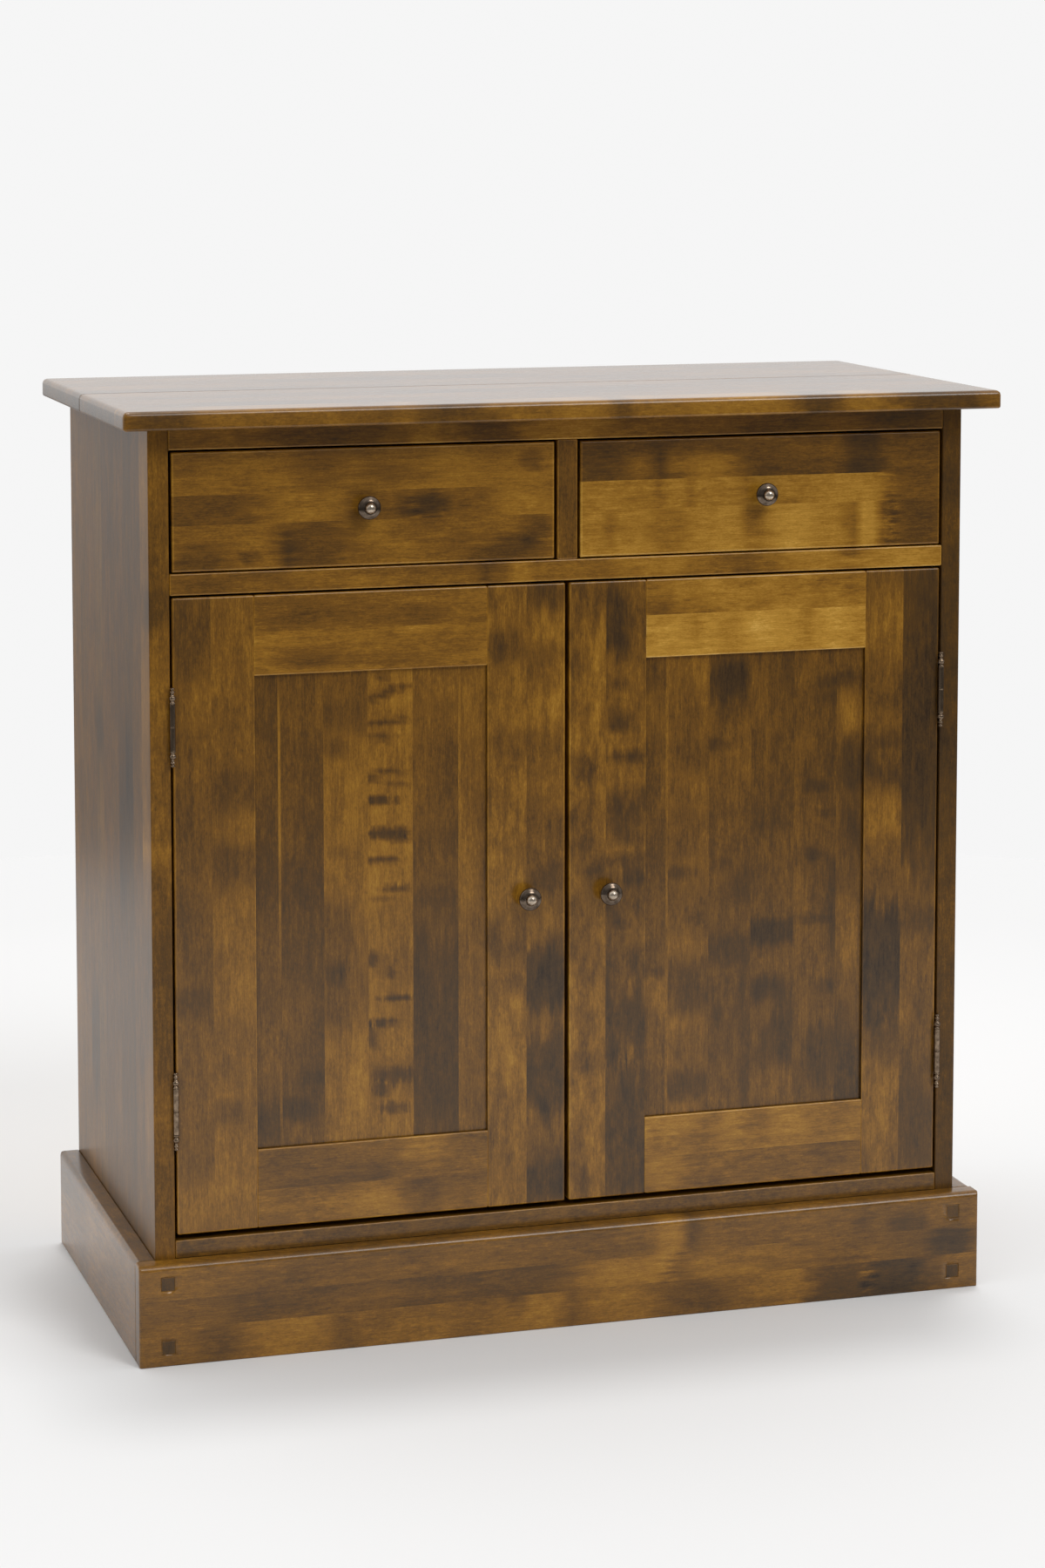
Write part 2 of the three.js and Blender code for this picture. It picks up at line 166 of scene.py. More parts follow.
class Graph:
    """A short way to write a material's nodes."""

    def __init__(self, name):
        self.material = bpy.data.materials.new(name)
        self.material.use_nodes = True
        self.nodes = self.material.node_tree.nodes
        self.links = self.material.node_tree.links
        self.shader = self.nodes["Principled BSDF"]

    def node(self, kind, **inputs):
        node = self.nodes.new(kind)
        for key, value in inputs.items():
            self.feed(node.inputs[key.replace("_", " ")], value)
        return node

    def feed(self, socket, value):
        if isinstance(value, bpy.types.NodeSocket):
            self.links.new(value, socket)
        else:
            socket.default_value = value

    def math(self, operation, a, b=0.0, c=0.0):
        node = self.nodes.new("ShaderNodeMath")
        node.operation = operation
        for socket, value in zip(node.inputs, (a, b, c)):
            self.feed(socket, value)
        return node.outputs[0]

    def attribute(self, name, output="Fac"):
        node = self.nodes.new("ShaderNodeAttribute")
        node.attribute_name = name
        return node.outputs[output]

    def scaled(self, vector, scale):
        node = self.nodes.new("ShaderNodeVectorMath")
        node.operation = "MULTIPLY"
        self.feed(node.inputs[0], vector)
        node.inputs[1].default_value = scale
        return node.outputs[0]

    def noise(self, vector, detail=3.0, roughness=0.5, distortion=0.0):
        node = self.node("ShaderNodeTexNoise", Vector=vector, Scale=1.0, Detail=detail,
                         Roughness=roughness, Distortion=distortion)
        return node.outputs["Fac"]

    def spread(self, value, low, high, to_low=0.0, to_high=1.0):
        node = self.node("ShaderNodeMapRange", Value=value)
        set_range(node, low, high, to_low, to_high)
        return node.outputs[0]

    def ramp(self, value, stops):
        node = self.node("ShaderNodeValToRGB", Fac=value)
        elements = node.color_ramp.elements
        while len(elements) < len(stops):
            elements.new(0.5)
        for element, (position, colour) in zip(elements, stops):
            element.position = position
            element.color = (*colour, 1)
        return node.outputs["Color"]

    def mix(self, factor, a, b, blend="MIX"):
        node = self.nodes.new("ShaderNodeMix")
        node.data_type = "RGBA"
        node.blend_type = blend
        self.feed(node.inputs[0], factor)
        self.feed(node.inputs[6], a)
        self.feed(node.inputs[7], b)
        return node.outputs[2]

    def bump(self, height, strength, distance, under=None):
        node = self.node("ShaderNodeBump", Height=height, Strength=strength, Distance=distance)
        if under is not None:
            self.feed(node.inputs["Normal"], under)
        return node.outputs["Normal"]

    def set(self, **inputs):
        for key, value in inputs.items():
            self.feed(self.shader.inputs[key.replace("_", " ")], value)


# ------------------------------------------------------------------ materials

STAIN = (
    (0.00, (0.028, 0.016, 0.007)),
    (0.15, (0.064, 0.035, 0.011)),
    (0.30, (0.112, 0.054, 0.009)),
    (0.45, (0.210, 0.098, 0.011)),
    (0.60, (0.350, 0.172, 0.017)),
    (0.80, (0.560, 0.310, 0.045)),
    (1.00, (0.820, 0.520, 0.130)),
)
PALE_BIRCH = (
    (0.0, (0.42, 0.28, 0.15)),
    (0.5, (0.60, 0.43, 0.25)),
    (1.0, (0.74, 0.57, 0.37)),
)


def wood_material(name, palette, contrast, blotch, coat, roughness, coat_roughness=0.22):
    """Birch staves: each one's tone and stain pools, soft blotches, streaks, fibres and pores, with
    darker end grain and a painted highlight on the rounded arrises.
    """
    g = Graph(name)
    grain = g.attribute("grain", "Vector")
    stave = g.node("ShaderNodeSeparateXYZ", Vector=g.attribute("stave", "Vector")).outputs
    tone, warmth, figure = stave
    pool, pool_edge = g.attribute("pool"), g.attribute("pool_edge")
    end_grain_and_painted_highlight = g.attribute("end_grain_and_painted_highlight")

    broad = g.noise(g.scaled(grain, (5, 16, 8)), 2.0, 0.55, 0.6)
    patch = g.noise(g.scaled(grain, (24, 64, 30)), 3.0, 0.62, 0.5)
    streak = g.noise(g.scaled(grain, (5, 190, 70)), 3.0, 0.6)
    flame = g.noise(g.scaled(grain, (17, 130, 60)), 4.0, 0.6, 0.4)
    mottle = g.noise(g.scaled(grain, (26, 75, 50)), 4.0, 0.65, 0.3)
    fleck = g.noise(g.scaled(grain, (130, 330, 160)), 3.0, 0.7, 0.3)
    fibre = g.noise(g.scaled(grain, (60, 900, 500)), 2.0, 0.6)
    pores = g.noise(g.scaled(grain, (320, 1200, 900)), 2.0, 0.7)

    value = tone
    for part, gain in ((broad, blotch), (patch, blotch * 0.8), (streak, contrast * 0.4),
                       (flame, contrast * 0.45), (fleck, contrast * 0.75),
                       (fibre, contrast * 0.7), (pores, contrast * 0.7)):
        value = g.math("MULTIPLY_ADD", g.math("SUBTRACT", part, 0.5), gain, value)
    figured = g.math("MULTIPLY", g.math("SUBTRACT", mottle, 0.5), 1.1)
    value = g.math("MULTIPLY_ADD", figured, figure, value)
    edge_noise = g.math("MULTIPLY", g.math("SUBTRACT", patch, 0.5), 2.0)
    for part, gain in ((flame, 4.0), (fleck, 2.0)):
        edge_noise = g.math("MULTIPLY_ADD", g.math("SUBTRACT", part, 0.5), gain, edge_noise)
    value = g.math("SUBTRACT", value, g.math("MULTIPLY_ADD", pool_edge, edge_noise, pool))
    # Darker stain on end grain, and a painted highlight that lightens the rounded arrises.
    value = g.math("ADD", value, end_grain_and_painted_highlight)

    colour = g.ramp(value, palette)
    warm = g.mix(1.0, colour, (1.10, 0.88, 0.60, 1), "MULTIPLY")
    colour = g.mix(warmth, colour, warm)
    rough = g.spread(fibre, 0.3, 0.7, roughness - 0.05, roughness + 0.06)
    height = g.math("MULTIPLY_ADD", pores, 0.5, fibre)
    g.set(Base_Color=colour, Roughness=rough, Normal=g.bump(height, 0.12, 0.00025),
          Specular_IOR_Level=0.05)
    wave = g.noise(g.scaled(grain, (22, 60, 40)), 2.0, 0.5)
    coat_height = g.math("MULTIPLY_ADD", fibre, 0.05, wave)
    g.set(Coat_Weight=coat, Coat_Roughness=coat_roughness, Coat_IOR=1.5,
          Coat_Normal=g.bump(coat_height, 0.10, 0.0010))
    return g.material


def metal_material(name, dark, light, roughness):
    """Antiqued metal: a darker skin with brighter rubbed patches and a fine brushed grain."""
    g = Graph(name)
    place = g.node("ShaderNodeTexCoord").outputs["Object"]
    cloud = g.noise(g.scaled(place, (180, 180, 180)), 4.0, 0.6)
    fine = g.noise(g.scaled(place, (2400, 2400, 2400)), 2.0, 0.5)
    rubbed = g.spread(cloud, 0.35, 0.7)
    g.set(Base_Color=g.mix(rubbed, (*dark, 1), (*light, 1)), Metallic=1.0,
          Roughness=g.spread(cloud, 0.3, 0.7, roughness + 0.07, roughness - 0.05),
          Normal=g.bump(fine, 0.06, 0.0001))
    return g.material


def plastic_material():
    g = Graph("brown_plastic")
    place = g.node("ShaderNodeTexCoord").outputs["Object"]
    grain = g.noise(g.scaled(place, (900, 900, 900)), 3.0, 0.6)
    g.set(Base_Color=g.mix(grain, (0.035, 0.02, 0.012, 1), (0.05, 0.03, 0.018, 1)),
          Roughness=0.5, Normal=g.bump(grain, 0.2, 0.0002))
    return g.material


def make_materials():
    return {
        "stained": wood_material("stained_birch", STAIN, 0.40, 0.28, 0.85, 0.36),
        "stained_top": wood_material("stained_birch_top", STAIN, 0.36, 0.24, 0.90, 0.30),
        "stained_side": wood_material("stained_birch_side", STAIN, 0.40, 0.28, 0.48, 0.40, 0.30),
        "plug": wood_material("stained_end_grain", STAIN, 0.30, 0.30, 0.7, 0.42),
        "pale": wood_material("pale_birch", PALE_BIRCH, 0.5, 0.25, 0.15, 0.45),
        "ply": wood_material("birch_plywood", PALE_BIRCH, 0.9, 0.8, 0.1, 0.5),
        "pewter": metal_material("antique_pewter", (0.085, 0.062, 0.044), (0.21, 0.16, 0.12), 0.20),
        "worn_and_highlit": metal_material("worn_pewter", (0.40, 0.32, 0.24), (0.72, 0.62, 0.50), 0.27),
        "bronze": metal_material("antique_bronze", (0.13, 0.092, 0.062), (0.34, 0.25, 0.17), 0.20),
        "steel": metal_material("zinc_steel", (0.36, 0.35, 0.33), (0.6, 0.59, 0.57), 0.3),
        "plastic": plastic_material(),
    }


# ------------------------------------------------------------------ boards

ARRIS = 0.0016
JOINT_ARRIS = 0.0008
TIGHT_ARRIS = 0.0003
DOOR_EDGE = 0.0022
BEVEL_STEPS = 3
# How much lighter the rounded arrises are painted: a painted highlight along every arris.
ARRIS_PAINTED_HIGHLIGHT = 0.13
DARK_END = 0.12
POOL_STEP = 0.012
FINE_STEP = 0.005
SLIT = Vector((0.0003,) * 3)


class Stave:
    """One glued strip: its width, its tone from 0 (espresso) to 1 (gold), and its stain pools.

    A pool is (place along the grain, half its length, depth), and it can end with its place
    across the stave and half its width, both as shares of the stave. A negative depth is a pale
    patch. Lengths are in millimetres, places along the grain are the cabinet's own. Warmth
    reddens a stave and figure mottles it.
    """

    def __init__(self, width, tone, pools=(), warmth=0.25, figure=0.15):
        self.width, self.tone, self.pools = width, tone, pools
        self.warmth, self.figure = warmth, figure

    def pools_at(self, along, across):
        """The depth of the pools, and how much of it is the ragged edge of one."""
        depth, edge = 0.0, 0.0
        for centre, half, strength, *place in self.pools:
            middle, reach = place if place else (0.5, 3.0)
            far = ((along - centre) / half) ** 2 + ((across - middle) / reach) ** 2
            cover = math.exp(-far * far)
            depth += strength * cover
            edge += abs(strength) * 4 * cover * (1 - cover)
        return depth, edge


def chance_staves(seed, width, tone=0.42, spread=0.07, strip=0.048):
    """Staves for a board that has no listed ones."""
    rng = random.Random(seed)
    count = max(1, round(width / strip))
    staves = []
    for _ in range(count):
        pools = [(rng.uniform(-400, 900), rng.uniform(20, 90), rng.uniform(-0.08, 0.14),
                  rng.uniform(0.2, 0.8), rng.uniform(0.5, 1.5)) for _ in range(3)]
        staves.append(Stave(rng.uniform(40, 56), tone + rng.uniform(-spread, spread), pools,
                            rng.uniform(0.1, 0.5)))
    return staves


def object_from(name, bm):
    mesh = bpy.data.meshes.new(name)
    bm.to_mesh(mesh)
    bm.free()
    made = bpy.data.objects.new(name, mesh)
    bpy.context.collection.objects.link(made)
    return made


def bake_modifiers(piece):
    graph = bpy.context.evaluated_depsgraph_get()
    graph.update()
    mesh = bpy.data.meshes.new_from_object(piece.evaluated_get(graph))
    old = piece.data
    piece.modifiers.clear()
    piece.data = mesh
    bpy.data.meshes.remove(old)


def block_mesh(lo, hi):
    bm = bmesh.new()
    bmesh.ops.create_cube(bm, size=1)
    size = hi - lo
    middle = (lo + hi) / 2
    for vert in bm.verts:
        vert.co = Vector(middle[i] + vert.co[i] * size[i] for i in range(3))
    return bm


def rounded_block(name, lo, hi, radius_of):
    """A block whose twelve edges are each rounded as radius_of(middle, direction) says."""
    bm = block_mesh(lo, hi)
    weights = bm.edges.layers.float.new("bevel_weight_edge")
    radii = {}
    for edge in bm.edges:
        a, b = (vert.co for vert in edge.verts)
        direction = max(range(3), key=lambda i: abs(a[i] - b[i]))
        radii[edge.index] = radius_of((a + b) / 2, direction)
    widest = max(radii.values())
    for edge in bm.edges:
        edge[weights] = radii[edge.index] / widest
    piece = object_from(name, bm)
    bevel = piece.modifiers.new("round", "BEVEL")
    bevel.limit_method = "WEIGHT"
    bevel.width = widest
    bevel.segments = BEVEL_STEPS
    bake_modifiers(piece)
    return piece


def even(radius):
    """The rule for a block whose edges all have one radius."""
    return lambda middle, direction: radius


def keep_flat(piece):
    """Keeps flat faces flat beside rounded edges."""
    smooth = piece.modifiers.new("flat_faces", "WEIGHTED_NORMAL")
    smooth.keep_sharp = False
    smooth.weight = 100


def boolean(piece, other, operation):
    """Cuts another object from a piece, or joins it on, and removes the other."""
    step = piece.modifiers.new("boolean", "BOOLEAN")
    step.operation = operation
    step.solver = "EXACT"
    step.object = other
    bake_modifiers(piece)
    bpy.data.objects.remove(other)


def slice_across(bm, axis, places):
    normal = Vector((0, 0, 0))
    normal[axis] = 1
    for place in places:
        everything = bm.verts[:] + bm.edges[:] + bm.faces[:]
        bmesh.ops.bisect_plane(bm, geom=everything, plane_co=normal * place, plane_no=normal,
                               dist=1e-6)


def slice_evenly(bm, axis, low, high, step):
    count = max(1, round((high - low) / step))
    slice_across(bm, axis, [low + (high - low) * i / count for i in range(1, count)])


def write_grain(bm, lo, hi, grain, across, staves, seed, step, wear):
    """Stores the grain's direction, each stave's looks, the darker end grain and the painted
    highlight on the rounded arrises on the faces and their corners.
    """
    depth = 3 - grain - across
    rng = random.Random(seed)
    offsets = [Vector((rng.uniform(0, 9), rng.uniform(0, 9), rng.uniform(0, 9))) for _ in staves]
    total = sum(stave.width for stave in staves)
    edges = [lo[across]]
    for stave in staves:
        edges.append(edges[-1] + (hi[across] - lo[across]) * stave.width / total)
    slice_across(bm, across, edges[1:-1])
    if any(stave.pools for stave in staves):
        slice_evenly(bm, grain, lo[grain], hi[grain], step)
        slice_evenly(bm, across, lo[across], hi[across], POOL_STEP)

    grain_layer = bm.loops.layers.float_vector.new("grain")
    pool_layer = bm.loops.layers.float.new("pool")
    edge_layer = bm.loops.layers.float.new("pool_edge")
    stave_layer = bm.faces.layers.float_vector.new("stave")
    tone_layer = bm.faces.layers.float.new("end_grain_and_painted_highlight")
    for face in bm.faces:
        middle = face.calc_center_median()
        index = 0
        while index < len(staves) - 1 and middle[across] > edges[index + 1]:
            index += 1
        stave = staves[index]
        width = edges[index + 1] - edges[index]
        face[stave_layer] = Vector((stave.tone, stave.warmth, stave.figure))
        slope = 1 - max(abs(part) for part in face.normal)
        face.smooth = slope > 0.0001
        # Rounded arris faces are painted lighter as a painted highlight; flat end-grain faces take
        # darker stain.
        worn_and_highlit = min(1.0, slope / 0.03)
        end = max(0.0, abs(face.normal[grain]) * 2 - 1)
        face[tone_layer] = wear * worn_and_highlit - DARK_END * end * (1 - worn_and_highlit)
        for loop in face.loops:
            co = loop.vert.co
            loop[grain_layer] = Vector((co[grain], co[across], co[depth])) + offsets[index]
            place = co[grain] / MM, (co[across] - edges[index]) / width
            loop[pool_layer], loop[edge_layer] = stave.pools_at(*place)


def board(name, node, body, slot, material, grain, across, staves=None, radius_of=None,
          pockets=(), step=POOL_STEP, wear=ARRIS_PAINTED_HIGHLIGHT):
    """Makes the wooden piece that stands for a CAD node; its pockets are boxes to cut away."""
    lo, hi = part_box(node)
    if staves is None:
        staves = chance_staves(name, hi[across] - lo[across])
    if radius_of is None:
        radius_of = even(ARRIS)
    piece = rounded_block(name, lo, hi, radius_of)
    for pocket in pockets:
        boolean(piece, object_from("cutter", block_mesh(*pocket)), "DIFFERENCE")
    bm = bmesh.new()
    bm.from_mesh(piece.data)
    write_grain(bm, lo, hi, grain, across, staves, name, step, wear)
    bm.to_mesh(piece.data)
    bm.free()
    keep_flat(piece)
    piece.data.materials.clear()
    piece.data.materials.append(material)
    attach(piece, body)
    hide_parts(node)
    return piece


# ------------------------------------------------------------------ the carcass, top and plinth


def fixed_board(wood, name, node, grain, across, *rest, look="stained", **options):
    """A stained board of the body, which doesn't move."""
    board(name, node, "root", "stained_birch", wood[look], grain, across, *rest, **options)


def build_top(wood):
    lo_front, hi_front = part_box("top_front_board")
    lo_rear, hi_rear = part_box("top_rear_board")
    upper, lower, seam, corner = 0.0055, 0.003, 0.0020, 0.004

    def radius_at(lo, hi, seam_y):
        def radius_of(middle, direction):
            if abs(middle.y - seam_y) < MM:
                return seam
            if direction == Z:
                return corner
            return upper if middle.z > (lo.z + hi.z) / 2 else lower
        return radius_of

    front_edge = Stave(52, 0.50, [
        (-470, 40, 0.14), (-235, 30, 0.08), (-140, 45, 0.16), (0, 30, -0.08), (52, 10, 0.14),
        (190, 60, -0.08), (290, 26, 0.20), (350, 18, -0.06), (440, 62, 0.22)])
    front_staves = [
        front_edge, Stave(56, 0.34, [(-300, 120, 0.06), (200, 90, -0.06)]),
        Stave(47, 0.38, [(60, 90, 0.08)]), Stave(52, 0.33, [(-120, 60, 0.08)]),
        Stave(51, 0.38, [(330, 100, 0.08)])]
    rear_staves = [
        Stave(48, 0.32, [(-350, 90, 0.06)]), Stave(50, 0.38, [(150, 80, 0.08)]),
        Stave(52, 0.34, [(-60, 120, 0.08)]), Stave(50, 0.37, [(350, 70, 0.08)]),
        Stave(45, 0.33, [(-200, 70, -0.06)])]
    fixed_board(wood, "top_front", "top_front_board", X, Y, front_staves,
                radius_at(lo_front, hi_front, hi_front.y), look="stained_top", wear=0)
    fixed_board(wood, "top_rear", "top_rear_board", X, Y, rear_staves,
                radius_at(lo_rear, hi_rear, lo_rear.y), look="stained_top", wear=0)


# The stave along the front edge of each side panel. The chance ones behind it follow.
SIDE_EDGES = {
    "left": Stave(46, 0.42, [(985, 40, -0.08), (845, 22, 0.14), (740, 50, -0.06), (572, 12, -0.10),
                             (400, 90, 0.10), (180, 60, 0.08)]),
    "right": Stave(46, 0.24, [(1010, 40, -0.06), (905, 25, -0.10), (700, 110, 0.06),
                              (470, 60, -0.08), (250, 100, -0.04)]),
}


def build_carcass(wood):
    back_lo, back_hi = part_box("back_panel")
    rebate = (back_lo - SLIT, back_hi + SLIT)
    for word, side in SIDES:
        others = chance_staves(f"side_{word}", 0.42, 0.31, 0.045)
        fixed_board(wood, f"side_{word}", f"side_panel_{word}", Z, Y, [SIDE_EDGES[word]] + others,
                    None, [rebate], look="stained_side", wear=0)
    board("back", "back_panel", "root", "birch_plywood", wood["ply"], Z, X,
          [Stave(900, 0.5)], even(0.0005))
    fixed_board(wood, "rail_top_front", "top_front_rail", X, Z, [Stave(25, 0.44, [
        (-400, 50, -0.06), (-280, 70, 0.14), (-165, 18, -0.1), (-90, 34, 0.16), (0, 50, -0.12),
        (250, 60, 0.10), (400, 60, 0.14)])])
    fixed_board(wood, "rail_top_rear", "top_rear_rail", X, Z, [Stave(25, 0.4)])
    fixed_board(wood, "rail_middle", "middle_rail", X, Z, [Stave(24, 0.47, [
        (-380, 90, 0.06), (-95, 12, 0.12), (-55, 14, -0.12), (95, 45, -0.12), (215, 14, 0.10),
        (300, 40, -0.18), (410, 55, -0.20)])])
    floor_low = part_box("floor_panel")[0].z
    fixed_board(wood, "cupboard_floor", "floor_panel", X, Y, None,
                lambda middle, direction: TIGHT_ARRIS if middle.z < floor_low + MM else ARRIS)
    board("drawer_dust_panel", "dust_panel", "root", "pale_birch", wood["pale"], X, Y)
    fixed_board(wood, "partition", "drawer_partition", Z, Y,
                [Stave(46, 0.42, [(950, 30, 0.05)])] + chance_staves("partition", 0.37))
    fixed_board(wood, "cupboard_shelf", "shelf", X, Y)
    for word, side in SIDES:
        fixed_board(wood, f"cleat_{word}", f"shelf_cleat_{word}", Y, X, [Stave(20, 0.4)])


PLINTH_STAVES = [
    Stave(42, 0.44, [
        (-480, 40, 0.06), (-415, 26, 0.15, 0.5, 0.7), (-330, 40, -0.08), (-268, 14, 0.08),
        (-120, 30, 0.05), (-62, 12, 0.12, 0.8, 0.4), (-40, 30, -0.08), (0, 12, 0.10),
        (150, 45, 0.10, 0.3, 0.6), (60, 40, -0.05), (272, 16, -0.05), (330, 40, 0.20),
        (395, 34, 0.30), (440, 20, 0.10)]),
    Stave(33, 0.37, [
        (-440, 50, -0.05), (-330, 90, 0.04), (-120, 100, 0.07), (60, 60, -0.14), (200, 90, -0.10),
        (130, 12, 0.08), (350, 60, -0.05), (465, 28, 0.22, 0.4, 0.8)]),
    Stave(40, 0.40, [
        (-450, 60, -0.04), (-170, 90, -0.03, 0.1, 0.5), (118, 18, -0.16), (146, 9, 0.12),
        (0, 60, 0.03), (355, 14, 0.08, 0.4, 0.4), (415, 26, 0.16, 0.2, 0.35)]),
]


def build_plinth(wood):
    front_lo, front_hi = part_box("plinth_front")
    edge, end = 0.006, 0.003
    outer_zone = 0.01

    def front_radius(middle, direction):
        if middle.z > (front_lo.z + front_hi.z) / 2 and middle.y < (front_lo.y + front_hi.y) / 2:
            return edge
        if direction == Z and middle.y < (front_lo.y + front_hi.y) / 2:
            return end
        return ARRIS

    pockets = []
    for word, side in SIDES:
        for level in ("lower", "upper"):
            lo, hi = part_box(f"plinth_plug_{word}_{level}")
            pockets.append((lo - SLIT, hi + SLIT))
            board(f"plug_{word}_{level}", f"plinth_plug_{word}_{level}", "root", "plug_wood",
                  wood["plug"], Y, X, [Stave(15, 0.30)], even(0.0004))
    fixed_board(wood, "plinth_board_front", "plinth_front", X, Z, PLINTH_STAVES, front_radius,
                pockets, wear=0)
    for word, side in SIDES:
        def side_radius(middle, direction, side=side):
            if middle.z > front_hi.z / 2 and middle.x * side > front_hi.x - outer_zone:
                return edge
            return ARRIS

        fixed_board(wood, f"plinth_board_{word}", f"plinth_side_{word}", Y, Z,
                    chance_staves(f"plinth_{word}", 0.115, 0.36), side_radius, wear=0)
    fixed_board(wood, "plinth_board_rear", "plinth_rear_rail", X, Z)


# ------------------------------------------------------------------ turned pieces


def turned(name, profile, axis, place, segments, material):
    """A turned piece: its profile is (radius, height) pairs, and axis is where its top points."""
    bm = bmesh.new()
    verts = [bm.verts.new((radius, 0, height)) for radius, height in profile]
    for a, b in zip(verts, verts[1:]):
        bm.edges.new((a, b))
    bmesh.ops.spin(bm, geom=bm.verts[:] + bm.edges[:], axis=(0, 0, 1), cent=(0, 0, 0),
                   steps=segments, angle=math.tau)
    bmesh.ops.remove_doubles(bm, verts=bm.verts[:], dist=1e-6)
    bmesh.ops.recalc_face_normals(bm, faces=bm.faces[:])
    turn = Vector(axis).to_track_quat("Z", "Y").to_matrix().to_4x4()
    bm.transform(Matrix.Translation(place) @ turn)
    for face in bm.faces:
        face.smooth = True
    piece = object_from(name, bm)
    piece.data.materials.append(material)
    return piece


def arc(centre, radius, start, end, steps):
    """Points of a round stretch of a profile; angles in degrees from the outward direction."""
    points = []
    for i in range(steps + 1):
        angle = math.radians(start + (end - start) * i / steps)
        points.append((centre[0] + radius * math.cos(angle), centre[1] + radius * math.sin(angle)))
    return points


def build_knob(name, node, body, metal):
    """A mushroom knob: foot, neck and wide dark cap, with a worn button in the middle."""
    lo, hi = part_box(node)
    place = Vector(((lo.x + hi.x) / 2, hi.y, (lo.z + hi.z) / 2))
    cap = [(0, 0.02), (7.2, 0.02)]
    cap += arc((7.0, 0.9), 0.6, -60, 80, 4)
    cap += [(5.6, 2.2), (4.7, 4.0), (4.4, 6.2), (4.9, 8.4), (6.6, 10.2), (9.2, 11.5)]
    cap += arc((10.6, 14.6), 2.6, -60, 70, 9)
    cap += [(9.9, 18.3), (8.2, 19.3), (6.9, 19.7), (6.3, 19.6), (5.8, 19.2), (0, 19.2)]
    button = [(0, 19.0), (5.7, 19.0), (5.95, 19.9)] + arc((0, 19.4), 6.4, 20, 90, 12)
    for part, profile, look in (("cap", cap, "pewter"), ("button", button, "worn_and_highlit")):
        profile = [(radius * MM, height * MM) for radius, height in profile]
        piece = turned(f"{name}_{part}", profile, (0, -1, 0), place, 64, metal[look])
        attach(piece, body)
        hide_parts(node)
    back = Vector((place.x, BACK_OF_DOORS, place.z))
    screw_heads(f"{name}_screw", [back], (0, 1, 0), 4.0, 1.7, body, metal["steel"])


# ------------------------------------------------------------------ hinges


def finial_profile(start):
    """The turned finial beyond the barrel, from its foot at height start, in millimetres."""
    profile = [(3.3, start), (3.5, start + 0.3), (3.5, start + 1.2), (3.0, start + 1.7)]
    profile += [(2.4, start + 2.2)]
    profile += arc((0.6, start + 6.0), 3.3, -62, 62, 10)
    profile += [(1.9, start + 9.8), (1.7, start + 11.0)]
    profile += arc((1.5, start + 12.9), 1.3, -75, 75, 6)
    profile += [(1.5, start + 14.9)]
    profile += arc((1.6, start + 16.6), 1.1, -75, 60, 6)
    profile += [(1.0, start + 17.9), (0, start + 18)]
    return profile


LEAF_THICKNESS = 0.00105
HALF_WASHER = 0.8 * MM

# In millimetres.
KNUCKLE_RADIUS = 3.3
BORE_RADIUS = 1.75
HALF_BARREL = 26.3
LEAF_SCREW_STEP = 18
LEAF_SCREW_INSET = 10.5


def build_leaf(kind, body, word, side, level, axis, metal):
    """One leaf: a plate on the wood's edge, its knuckle round the pin, and its three screws."""
    lo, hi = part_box(f"hinge_{kind}_leaf_{word}_{level}")
    if kind == "frame":
        face = abs(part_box(f"side_panel_{word}")[(1 - side) // 2].x)
        plate = (face - LEAF_THICKNESS, face)
        knuckle = (lo.z, axis.z - HALF_WASHER)
    else:
        face = abs(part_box(f"door_hinge_stile_{word}")[(1 + side) // 2].x)
        plate = (face, face + LEAF_THICKNESS)
        knuckle = (axis.z + HALF_WASHER, hi.z)
    left, right = sorted(side * x for x in plate)
    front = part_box(f"door_hinge_stile_{word}")[0].y
    name = f"hinge_{kind}_{word}_{level}"

    def corner(middle, direction):
        return 0.003 if direction == X and middle.y > front + 0.005 else 0.00015

    leaf = rounded_block(name, Vector((left, front, lo.z)), Vector((right, hi.y, hi.z)), corner)
    neck = block_mesh(Vector((left, axis.y + 2.4 * MM, knuckle[0])),
                      Vector((right, front + 1.0 * MM, knuckle[1])))
    boolean(leaf, object_from("neck", neck), "UNION")
    length = (knuckle[1] - knuckle[0]) / MM
    ring = [(BORE_RADIUS, 0.15), (BORE_RADIUS + 0.15, 0), (KNUCKLE_RADIUS - 0.35, 0),
            (KNUCKLE_RADIUS, 0.35), (KNUCKLE_RADIUS, length - 0.35),
            (KNUCKLE_RADIUS - 0.35, length), (BORE_RADIUS + 0.15, length),
            (BORE_RADIUS, length - 0.15), (BORE_RADIUS, 0.15)]
    ring = [(radius * MM, height * MM) for radius, height in ring]
    tube = turned("knuckle", ring, (0, 0, 1), Vector((axis.x, axis.y, knuckle[0])), 48, metal)
    boolean(leaf, tube, "UNION")

    outward = -side if kind == "frame" else side
    surface = left if outward < 0 else right
    places = [Vector((surface, front + LEAF_SCREW_INSET * MM, axis.z + i * LEAF_SCREW_STEP * MM))
              for i in (-1, 0, 1)]
    sink = [(0, 0.1), (2.8, 0.1), (2.8, 0), (1.5, -0.7), (0, -0.7)]
    for place in places:
        hole = turned("hole", [(r * MM, h * MM) for r, h in sink], (outward, 0, 0), place, 24, metal)
        boolean(leaf, hole, "DIFFERENCE")
    leaf.data.materials.clear()
    leaf.data.materials.append(metal)
    flatten(leaf)
    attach(leaf, body)
    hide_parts(f"hinge_{kind}_leaf_{word}_{level}")
    screw_heads(f"{name}_screws", places, (outward, 0, 0), 2.6, 0.0, body, metal)


